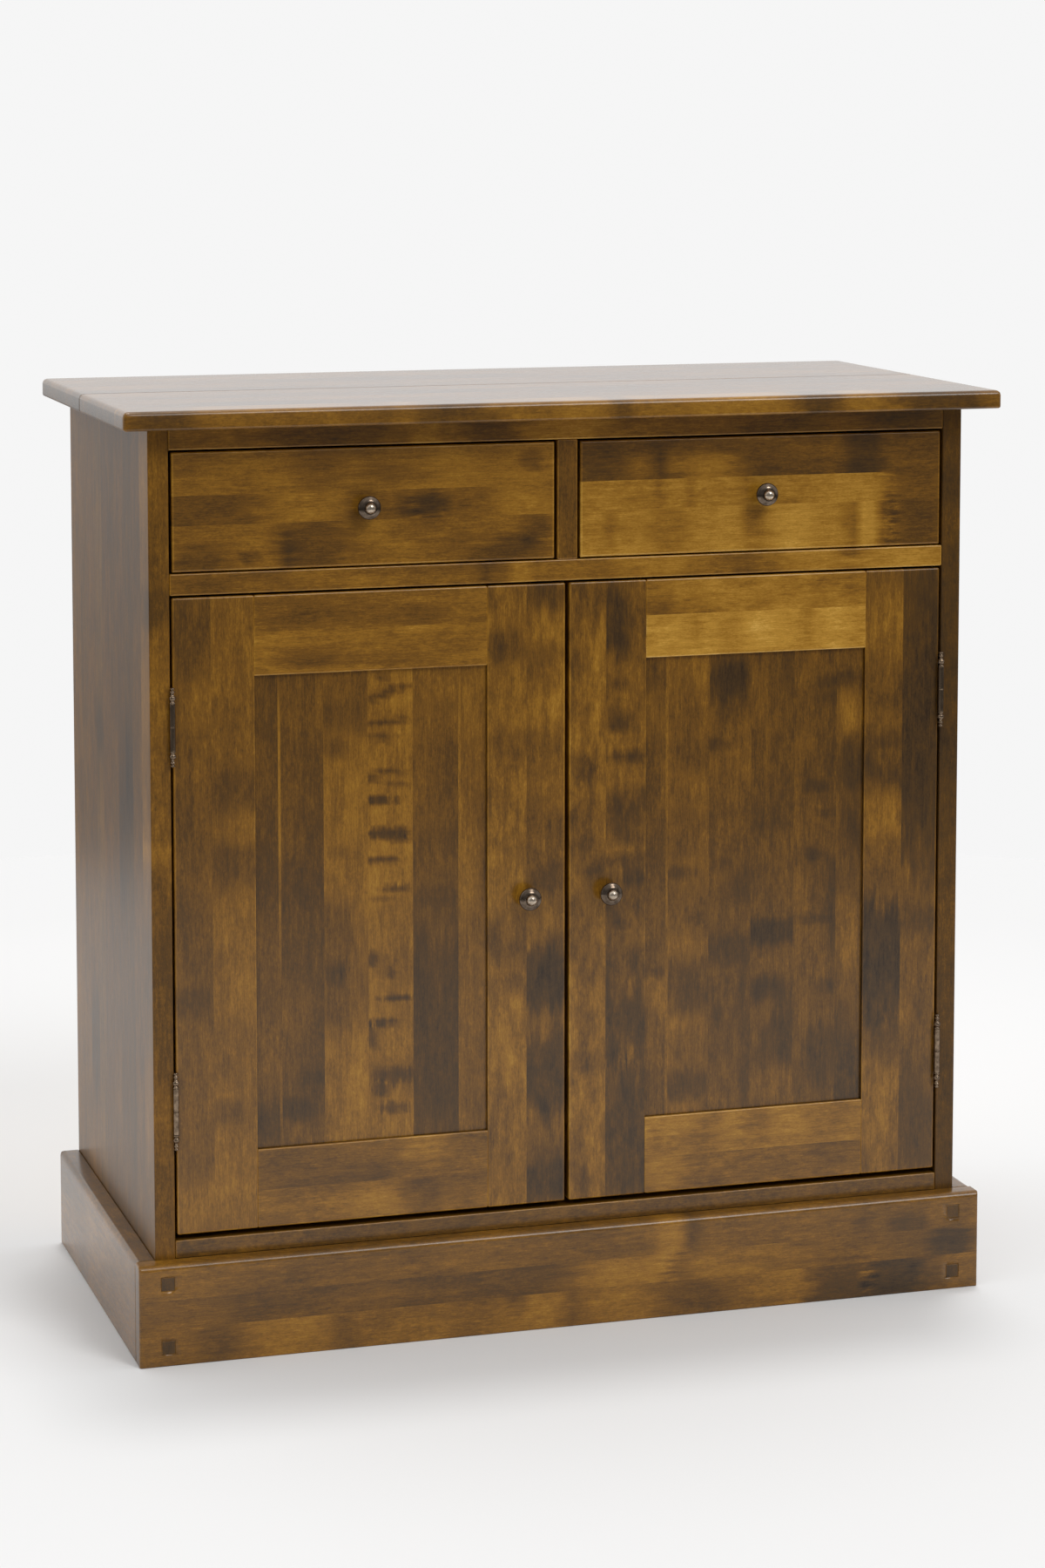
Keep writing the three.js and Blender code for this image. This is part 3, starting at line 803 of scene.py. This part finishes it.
def build_hinge(word, side, level, metal):
    pin_lo, pin_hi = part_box(f"hinge_pin_{word}_{level}")
    middle = (pin_lo + pin_hi) / 2
    upper = [(3.45, 0), (3.45, 0.5), (1.5, 0.5), (1.5, HALF_BARREL)]
    upper += finial_profile(HALF_BARREL)
    lower = [(radius, -height) for radius, height in reversed(upper[1:])]
    profile = [(radius * MM, height * MM) for radius, height in lower + upper]
    pin = turned(f"hinge_pin_and_finials_{word}_{level}", profile, (0, 0, 1), middle, 40,
                 metal["bronze"])
    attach(pin, "root")
    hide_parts(f"hinge_pin_{word}_{level}")
    build_leaf("frame", "root", word, side, level, middle, metal["bronze"])
    build_leaf("door", f"door_{word}", word, side, level, middle, metal["bronze"])


# ------------------------------------------------------------------ screws and other small metal


def flatten(piece):
    """Smooths the rounded edges of a metal piece and leaves its flats flat."""
    for face in piece.data.polygons:
        face.use_smooth = True
    keep_flat(piece)


def join(name, pieces):
    """One object made of several, with the first one's materials."""
    bm = bmesh.new()
    for piece in pieces:
        bm.from_mesh(piece.data)
    material = pieces[0].data.materials[0]
    for piece in pieces:
        bpy.data.objects.remove(piece)
    whole = object_from(name, bm)
    whole.data.materials.append(material)
    return whole


def screw_heads(name, places, axis, radius, proud, body, metal, slotted=True):
    """Screw or nail heads that all face the same way, domed by proud millimetres."""
    rng = random.Random(name)
    top = 0.12 + proud
    profile = [(0, -0.65), (radius * 0.5, -0.65), (radius - 0.05, -0.02), (radius, 0.03)]
    profile += [(radius * 0.93, top * 0.55), (radius * 0.7, top * 0.85), (radius * 0.4, top),
                (0, top)]
    profile = [(r * MM, h * MM) for r, h in profile]
    aim = Vector(axis).to_track_quat("Z", "Y").to_matrix().to_4x4()
    heads = []
    for place in places:
        head = turned("head", profile, axis, place, 24, metal)
        heads.append(head)
        if not slotted:
            continue
        half = Vector((radius * 1.2, radius * 0.11, 0.35)) * MM
        slot_mesh = block_mesh(-half, half)
        turn = Matrix.Rotation(rng.uniform(0, math.pi), 4, "Z")
        slot_mesh.transform(Matrix.Translation(place) @ aim @ turn
                            @ Matrix.Translation((0, 0, top * MM)))
        boolean(head, object_from("slot", slot_mesh), "DIFFERENCE")
    screws = join(name, heads)
    flatten(screws)
    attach(screws, body)
    return screws


# ------------------------------------------------------------------ doors and drawers

# Upright members list their staves from left to right, level ones from the bottom up.
DOOR_STAVES = {
    "hinge_stile_left": [
        Stave(43, 0.38, [
            (810, 40, 0.04), (735, 28, -0.08), (600, 34, 0.05), (480, 50, 0.05),
            (405, 18, 0.14, 0.4, 0.6), (290, 60, -0.03), (175, 30, -0.10)]),
        Stave(49, 0.43, [
            (640, 22, 0.12), (595, 13, -0.06), (555, 24, 0.10), (490, 30, -0.03), (410, 34, -0.04),
            (340, 40, 0.05), (276, 14, 0.14, 0.3, 0.5), (180, 30, -0.04)]),
    ],
    "top_rail_left": [
        Stave(49, 0.53, [
            (-305, 40, 0.13, 0.3, 0.25), (-190, 30, 0.06, 0.3, 0.2), (-130, 30, 0.04)]),
        Stave(41, 0.46, [
            (-300, 50, 0.06, 0.35, 0.3), (-170, 34, 0.14, 0.2, 0.22), (-240, 40, -0.04, 0.8, 0.3)]),
    ],
    "panel_left": [
        Stave(37, 0.31, [
            (700, 60, 0.03), (550, 26, 0.05, 0.65, 0.4), (450, 40, -0.04), (350, 50, -0.05),
            (262, 22, 0.12, 0.6, 0.6)]),
        Stave(3, 0.38, [(640, 110, -0.16), (480, 40, -0.06)]),
        Stave(49, 0.31, [
            (730, 50, -0.03), (480, 50, 0.02), (360, 50, -0.05), (306, 9, 0.10, 0.8, 0.3),
            (272, 14, 0.14, 0.3, 0.5), (240, 20, -0.05)]),
        Stave(51, 0.49, [
            (745, 40, 0.10), (712, 20, 0.08), (680, 12, 0.14, 0.3, 0.3), (620, 60, -0.02, 0.4, 0.9),
            (562, 8, 0.08, 0.3, 0.3), (460, 46, 0.16, 0.1, 0.7), (390, 40, 0.12, 0.3, 0.9),
            (255, 25, 0.02)]),
        Stave(52, 0.53, [
            (757, 5, 0.18, 0.35, 0.16), (733, 4, 0.22, 0.10, 0.14), (737, 4.5, 0.26, 0.34, 0.18),
            (742, 4.5, 0.26, 0.60, 0.18), (746, 4, 0.22, 0.86, 0.18), (706, 4, 0.24, 0.30, 0.36),
            (709, 4, 0.18, 0.80, 0.16), (690, 5, 0.20, 0.28, 0.26), (643, 5, 0.24, 0.10, 0.14),
            (650, 4, 0.20, 0.40, 0.28), (648, 3, 0.12, 0.85, 0.2), (635, 3.5, 0.16, 0.65, 0.22),
            (618, 5.5, 0.34, 0.25, 0.36), (580, 7, 0.36, 0.35, 0.62), (572, 4, 0.22, 0.75, 0.25),
            (550, 4.5, 0.32, 0.28, 0.40), (517, 4.5, 0.26, 0.60, 0.32), (505, 3, 0.14, 0.25, 0.30),
            (450, 60, 0.09), (438, 9, 0.24, 0.12, 0.18), (420, 8, 0.18, 0.45, 0.15),
            (391, 4, 0.32, 0.65, 0.40), (364, 4.5, 0.30, 0.30, 0.35), (348, 14, 0.24, 0.08, 0.12),
            (303, 11, 0.26, 0.55, 0.45), (287, 9, 0.26, 0.30, 0.22), (265, 7, 0.24, 0.55, 0.36),
            (330, 60, 0.06), (240, 20, 0.04)]),
        Stave(53, 0.35, [
            (750, 30, -0.07), (700, 20, -0.04), (610, 40, 0.03, 0.7, 0.5), (555, 30, 0.05),
            (505, 14, 0.08, 0.4, 0.6), (540, 10, -0.05, 0.8, 0.3), (345, 120, 0.15)]),
        Stave(3, 0.42, [(640, 120, -0.10)]),
        Stave(40, 0.43, [
            (720, 40, -0.05, 0.4, 0.5), (640, 60, -0.02), (560, 60, 0.04, 0.9, 0.5),
            (450, 40, 0.05), (350, 60, 0.02), (265, 18, 0.08, 0.3, 0.4)]),
    ],
    "bottom_rail_left": [
        Stave(43, 0.46, [
            (-170, 26, 0.13, 0.5, 0.6), (-300, 40, 0.03), (-225, 24, -0.08),
            (-120, 14, 0.10, 0.2, 0.5)]),
        Stave(47, 0.40, [
            (-168, 32, -0.16, 0.7, 0.4), (-275, 66, 0.12, 0.12, 0.16), (-225, 16, 0.06, 0.3, 0.3),
            (-320, 40, 0.02)]),
    ],
    "lock_stile_left": [
        Stave(46, 0.46, [
            (840, 20, 0.03), (785, 20, 0.15, 0.35, 0.6), (720, 40, -0.03, 0.9, 0.5),
            (675, 18, 0.12, 0.6, 0.5), (525, 26, -0.03), (450, 26, 0.13), (400, 12, 0.06),
            (340, 46, -0.02), (210, 40, 0.05)]),
        Stave(46, 0.42, [
            (845, 18, 0.14, 0.5, 0.6), (800, 24, -0.07, 0.4, 0.5), (775, 14, 0.08, 0.7, 0.4),
            (715, 24, -0.07), (655, 22, 0.06, 0.5, 0.7), (560, 50, 0.08), (505, 20, 0.05, 0.6, 0.6),
            (470, 12, -0.08, 0.8, 0.4), (405, 38, 0.26), (352, 7, -0.02), (290, 50, 0.24),
            (205, 9, 0.05), (165, 26, 0.18)]),
    ],
    "lock_stile_right": [
        Stave(44, 0.44, [
            (840, 24, 0.08), (790, 22, 0.06, 0.2, 0.4), (715, 90, -0.10, 0.75, 0.22),
            (765, 9, 0.16, 0.2, 0.25), (650, 12, 0.10, 0.5, 0.5), (632, 10, 0.18, 0.75, 0.3),
            (575, 34, 0.08), (525, 12, 0.16, 0.7, 0.5), (460, 40, 0.08, 0.2, 0.6), (380, 40, -0.03),
            (300, 14, 0.14, 0.5, 0.3), (205, 50, -0.03, 0.7, 0.4), (165, 14, 0.10, 0.3, 0.4)]),
        Stave(48, 0.40, [
            (810, 34, 0.20, 0.2, 0.36), (780, 10, 0.10, 0.4, 0.4), (735, 7, 0.20, 0.35, 0.2),
            (694, 9, 0.18, 0.3, 0.36), (720, 40, -0.05, 0.6, 0.5), (672, 12, -0.08),
            (652, 6, 0.18, 0.5, 0.45), (636, 10, -0.05), (590, 24, 0.15), (560, 5, 0.10),
            (535, 6, 0.14), (515, 8, 0.20, 0.7, 0.6), (490, 26, 0.08), (462, 6, 0.16, 0.3, 0.3),
            (415, 26, 0.14), (325, 5, -0.12, 0.4, 0.4), (340, 40, 0.17), (210, 90, 0.20)]),
    ],
    "top_rail_right": [
        Stave(49, 0.70, [
            (235, 26, -0.10, 0.6, 0.6), (152, 10, 0.10, 0.7, 0.5), (200, 16, 0.10, 0.4, 0.5),
            (290, 10, 0.10, 0.6, 0.5), (330, 20, -0.04), (120, 20, -0.02)]),
        Stave(41, 0.58, [
            (105, 20, 0.12), (292, 5, 0.20, 0.2, 0.14), (190, 40, -0.03, 0.5, 0.5),
            (270, 30, -0.04), (345, 16, 0.04)]),
    ],
    "panel_right": [
        Stave(36, 0.37, [
            (705, 30, -0.08, 0.6, 0.6), (520, 40, 0.05), (375, 22, -0.10), (398, 8, 0.14, 0.7, 0.4),
            (300, 40, 0.03)]),
        Stave(3, 0.46, [(690, 110, -0.05)]),
        Stave(50, 0.45, [
            (745, 20, -0.03), (700, 30, 0.03), (650, 20, 0.06), (612, 24, -0.02), (555, 30, 0.08),
            (513, 8, 0.17, 0.25, 0.5), (470, 30, 0.06), (380, 32, 0.17), (310, 24, 0.06, 0.4, 0.5),
            (265, 20, 0.18, 0.4, 0.6)]),
        Stave(52, 0.37, [
            (750, 20, 0.05), (732, 24, 0.22, 0.5, 0.5), (700, 14, 0.05), (660, 9, 0.16, 0.1, 0.3),
            (640, 20, -0.04), (560, 40, 0.02), (490, 26, 0.14, 0.75, 0.35),
            (520, 10, 0.08, 0.3, 0.3), (420, 20, 0.10), (400, 60, 0.06), (300, 80, 0.14, 0.9, 0.25),
            (320, 34, 0.08, 0.2, 0.3)]),
        Stave(53, 0.33, [
            (755, 16, -0.02), (700, 24, -0.04), (610, 16, 0.08, 0.8, 0.4), (575, 20, 0.05),
            (500, 24, 0.02), (438, 16, 0.20), (400, 14, -0.04), (372, 14, 0.14, 0.3, 0.6),
            (330, 24, -0.10, 0.15, 0.35), (310, 36, 0.13, 0.8, 0.5), (255, 20, -0.06)]),
        Stave(53, 0.36, [
            (660, 16, -0.07, 0.2, 0.3), (728, 9, 0.16, 0.95, 0.4), (710, 12, 0.12, 0.85, 0.3),
            (605, 8, 0.12, 0.5, 0.3), (572, 6, 0.10, 0.8, 0.3), (525, 9, 0.20, 0.45, 0.24),
            (449, 7, 0.14, 0.5, 0.36), (465, 60, 0.17, 0.95, 0.16), (368, 12, 0.10, 0.8, 0.3),
            (290, 40, 0.16, 0.6, 0.4), (320, 50, -0.04, 0.1, 0.3)]),
        Stave(43, 0.36, [
            (730, 10, 0.14, 0.2, 0.5), (690, 24, -0.12, 0.4, 0.5), (625, 34, 0.16, 0.5, 0.35),
            (545, 36, 0.14, 0.4, 0.4), (490, 20, 0.10, 0.3, 0.4), (430, 50, -0.02),
            (250, 90, 0.13)]),
    ],
    "bottom_rail_right": [
        Stave(42, 0.42, [(120, 26, -0.12, 0.6, 0.6), (250, 120, 0.02), (330, 30, 0.03)]),
        Stave(48, 0.56, [
            (105, 6, 0.10, 0.4, 0.3), (160, 22, 0.14, 0.35, 0.3), (170, 20, 0.12, 0.9, 0.3),
            (232, 20, 0.11, 0.7, 0.35), (200, 14, -0.06, 0.3, 0.4), (280, 30, -0.02),
            (320, 34, 0.10, 0.8, 0.6)]),
    ],
    "hinge_stile_right": [
        Stave(47, 0.40, [
            (845, 9, 0.04), (795, 40, -0.07), (715, 24, 0.04), (700, 8, 0.06, 0.6, 0.3),
            (658, 6, 0.18, 0.5, 0.3), (640, 24, 0.08), (622, 12, 0.12, 0.15, 0.3),
            (608, 14, 0.14, 0.7, 0.4), (566, 24, -0.07), (525, 12, 0.02), (492, 10, 0.03),
            (395, 70, 0.28), (300, 26, 0.10), (225, 50, -0.06)]),
        Stave(45, 0.37, [
            (700, 188, 0.19), (440, 14, 0.10), (500, 9, -0.08, 0.1, 0.3), (325, 30, -0.03),
            (195, 50, 0.12)]),
    ],
}

# How strongly the staves of some boards are mottled.
FIGURED = {
    "lock_stile_left": 0.45,
    "lock_stile_right": 0.55,
    "hinge_stile_right": 0.35,
    "top_rail_right": 0.35,
    "panel_right": 0.25,
    "bottom_rail_right": 0.3,
}

DRAWER_STAVES = {
    "left": [
        Stave(51, 0.50, [
            (-420, 34, 0.16, 0.2, 0.4), (-366, 7, 0.30, 0.22, 0.14), (-296, 42, 0.18, 0.62, 0.6),
            (-322, 9, 0.14, 0.3, 0.5), (-205, 30, -0.05), (-125, 20, 0.05, 0.3, 0.4),
            (-65, 52, 0.20, 0.22, 0.32), (-36, 22, 0.16, 0.75, 0.4)]),
        Stave(33, 0.48, [
            (-415, 60, 0.17), (-300, 40, -0.05), (-235, 20, 0.05), (-186, 12, 0.16, 0.4, 0.5),
            (-160, 20, 0.30, 0.5, 0.6), (-115, 20, 0.06), (-52, 34, -0.10)]),
        Stave(48, 0.53, [
            (-440, 40, 0.03), (-285, 34, 0.10, 0.6, 0.6), (-195, 50, 0.12, 0.35, 0.22),
            (-170, 40, -0.08, 0.06, 0.14), (-215, 60, 0.12, 0.9, 0.3), (-95, 30, 0.06, 0.6, 0.4),
            (-42, 12, 0.16, 0.6, 0.3), (-75, 40, -0.04, 0.2, 0.3)]),
    ],
    "right": [
        Stave(53, 0.66, [
            (30, 14, 0.03), (53, 6, 0.14, 0.6, 0.5), (120, 26, 0.13, 0.5, 0.6), (188, 12, -0.03),
            (222, 14, 0.16, 0.7, 0.6), (272, 26, -0.12), (316, 12, -0.02), (343, 8, 0.16, 0.6, 0.7),
            (364, 9, -0.12), (388, 7, 0.16), (430, 40, 0.30)]),
        Stave(33, 0.63, [
            (60, 24, -0.02), (110, 9, 0.12), (142, 6, 0.12), (215, 12, 0.10), (270, 30, 0.06),
            (330, 20, -0.03), (428, 42, 0.30)]),
        Stave(46, 0.36, [
            (38, 26, 0.06), (86, 12, -0.12, 0.3, 0.4), (112, 7, 0.12, 0.5, 0.5),
            (165, 40, -0.22, 0.25, 0.42), (250, 40, 0.02, 0.15, 0.3), (360, 22, 0.20),
            (320, 14, -0.02), (425, 30, 0.02)]),
    ],
}


def staves_of(name):
    """A door board's staves, with its mottling."""
    for stave in DOOR_STAVES[name]:
        stave.figure = FIGURED.get(name, stave.figure)
    return DOOR_STAVES[name]


def build_door(word, side, materials):
    body = f"door_{word}"
    wood = materials["stained"]
    panel_lo, panel_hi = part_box(f"door_panel_{word}")
    groove = (panel_lo - SLIT, panel_hi + SLIT)
    corners = [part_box(f"door_{member}_{word}") for member in ("hinge_stile", "lock_stile")]
    door_lo = Vector(min(lo[i] for lo, hi in corners) for i in range(3))
    door_hi = Vector(max(hi[i] for lo, hi in corners) for i in range(3))

    def member_radius(middle, direction):
        """Outer edges are the roundest, those at the joints the least."""
        for i in (X, Z):
            if i != direction and min(middle[i] - door_lo[i], door_hi[i] - middle[i]) < MM:
                return DOOR_EDGE
        return ARRIS if direction == X else JOINT_ARRIS

    members = (("hinge_stile", Z, X), ("lock_stile", Z, X), ("top_rail", X, Z),
               ("bottom_rail", X, Z))
    for member, grain, across in members:
        name = f"{member}_{word}"
        board(name, f"door_{name}", body, "stained_birch", wood, grain, across,
              staves_of(name), member_radius, [groove])
    board(f"panel_{word}", f"door_panel_{word}", body, "stained_panel", wood, Z, X,
          staves_of(f"panel_{word}"), even(0.0006), (), FINE_STEP)
    build_knob(f"knob_door_{word}", f"door_knob_{word}", body, materials)
    for level in ("upper", "lower"):
        build_hinge(word, side, level, materials)


def build_drawer(word, materials):
    body = f"drawer_{word}"
    front_lo, front_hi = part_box(f"drawer_front_{word}")
    bottom_lo, bottom_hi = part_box(f"drawer_bottom_{word}")
    groove = [(bottom_lo - SLIT, bottom_hi + SLIT)]

    def front_radius(middle, direction):
        return 0.0024 if middle.y < (front_lo.y + front_hi.y) / 2 else 0.001

    board(f"front_{word}", f"drawer_front_{word}", body, "stained_birch", materials["stained"],
          X, Z, DRAWER_STAVES[word], front_radius, groove)
    for wall, grain in (("inner_wall", Y), ("outer_wall", Y), ("back", X)):
        board(f"{wall}_{word}", f"drawer_{wall}_{word}", body, "pale_birch", materials["pale"],
              grain, Z, [Stave(104, 0.5)], even(0.0008), groove)
    board(f"bottom_{word}", f"drawer_bottom_{word}", body, "birch_plywood", materials["ply"],
          Y, X, [Stave(400, 0.5)], even(0.0004))
    build_knob(f"knob_drawer_{word}", f"drawer_knob_{word}", body, materials)


def build_catch(metal):
    """The magnetic catch's body, its magnets and screws, and a strike plate on each door."""
    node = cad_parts["door_catch"]
    node.data.materials.clear()
    node.data.materials.append(metal["plastic"])
    lo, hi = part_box("door_catch")
    near, far, plate = 6 * MM, 24 * MM, 0.8 * MM
    for word, side in SIDES:
        left, right = sorted((side * near, side * far))
        magnet = rounded_block(f"catch_magnet_{word}", Vector((left, lo.y - 0.6 * MM, lo.z + 2 * MM)),
                               Vector((right, lo.y + 3 * MM, lo.z + 7 * MM)),
                               even(0.0004))
        strike = rounded_block(f"strike_{word}",
                               Vector((left, BACK_OF_DOORS, lo.z - 6 * MM)),
                               Vector((right, BACK_OF_DOORS + plate, lo.z + 7 * MM)),
                               lambda middle, direction: 0.002 if direction == Y else 0.0002)
        for piece, body in ((magnet, "root"), (strike, f"door_{word}")):
            piece.data.materials.append(metal["steel"])
            flatten(piece)
            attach(piece, body)
        place = Vector((side * (near + far) / 2, BACK_OF_DOORS + plate, lo.z - 2 * MM))
        screw_heads(f"strike_screw_{word}", [place], (0, 1, 0), 2.2, 0.1, f"door_{word}",
                    metal["steel"])
    places = [Vector((side * 22 * MM, lo.y + 20 * MM, lo.z)) for word, side in SIDES]
    screw_heads("catch_screws", places, (0, 0, -1), 2.6, 0.4, "root", metal["steel"])


def build_fixings(metal):
    """The nails round the back, the screws in the shelf cleats and the dowels of the drawers."""
    lo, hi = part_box("back_panel")
    left, right = lo.x + 6 * MM, hi.x - 6 * MM
    low, high = lo.z + 9 * MM, hi.z - 9 * MM
    gaps_across, gaps_up = 9, 8
    places = [Vector((left + (right - left) * i / gaps_across, hi.y, z))
              for i in range(gaps_across + 1) for z in (low, high)]
    places += [Vector((x, hi.y, low + (high - low) * i / gaps_up)) for i in range(1, gaps_up)
               for x in (left, right)]
    screw_heads("back_nails", places, (0, 1, 0), 2.3, 0.5, "root", metal["steel"], slotted=False)
    for word, side in SIDES:
        lo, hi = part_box(f"shelf_cleat_{word}")
        face = hi.x if side < 0 else lo.x
        places = [Vector((face, lo.y + (hi.y - lo.y) * share, (lo.z + hi.z) / 2))
                  for share in (0.08, 0.5, 0.92)]
        screw_heads(f"cleat_screws_{word}", places, (-side, 0, 0), 3.4, 0.0, "root",
                    metal["steel"])
        back_lo, back_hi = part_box(f"drawer_back_{word}")
        for wall, way in (("inner", -side), ("outer", side)):
            lo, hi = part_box(f"drawer_{wall}_wall_{word}")
            face = hi.x if way > 0 else lo.x
            places = [Vector((face, (back_lo.y + back_hi.y) / 2, lo.z + step * MM))
                      for step in (18, 52, 86)]
            screw_heads(f"dowels_{wall}_{word}", places, (way, 0, 0), 4.0, 0.0, f"drawer_{word}",
                        metal["pale"], slotted=False)


# ------------------------------------------------------------------ the whole

scene = bpy.context.scene
scene.view_settings.view_transform = "Standard"
make_camera()
make_world()
make_floor()
soft_sun("key", right=27, up=41, strength=0.9, spread=22)
soft_sun("overhead", right=160, up=80, strength=0.7, spread=9)
materials = make_materials()
build_top(materials)
build_carcass(materials)
build_plinth(materials)
for word, side in SIDES:
    build_door(word, side, materials)
    build_drawer(word, materials)
build_catch(materials)
build_fixings(materials)
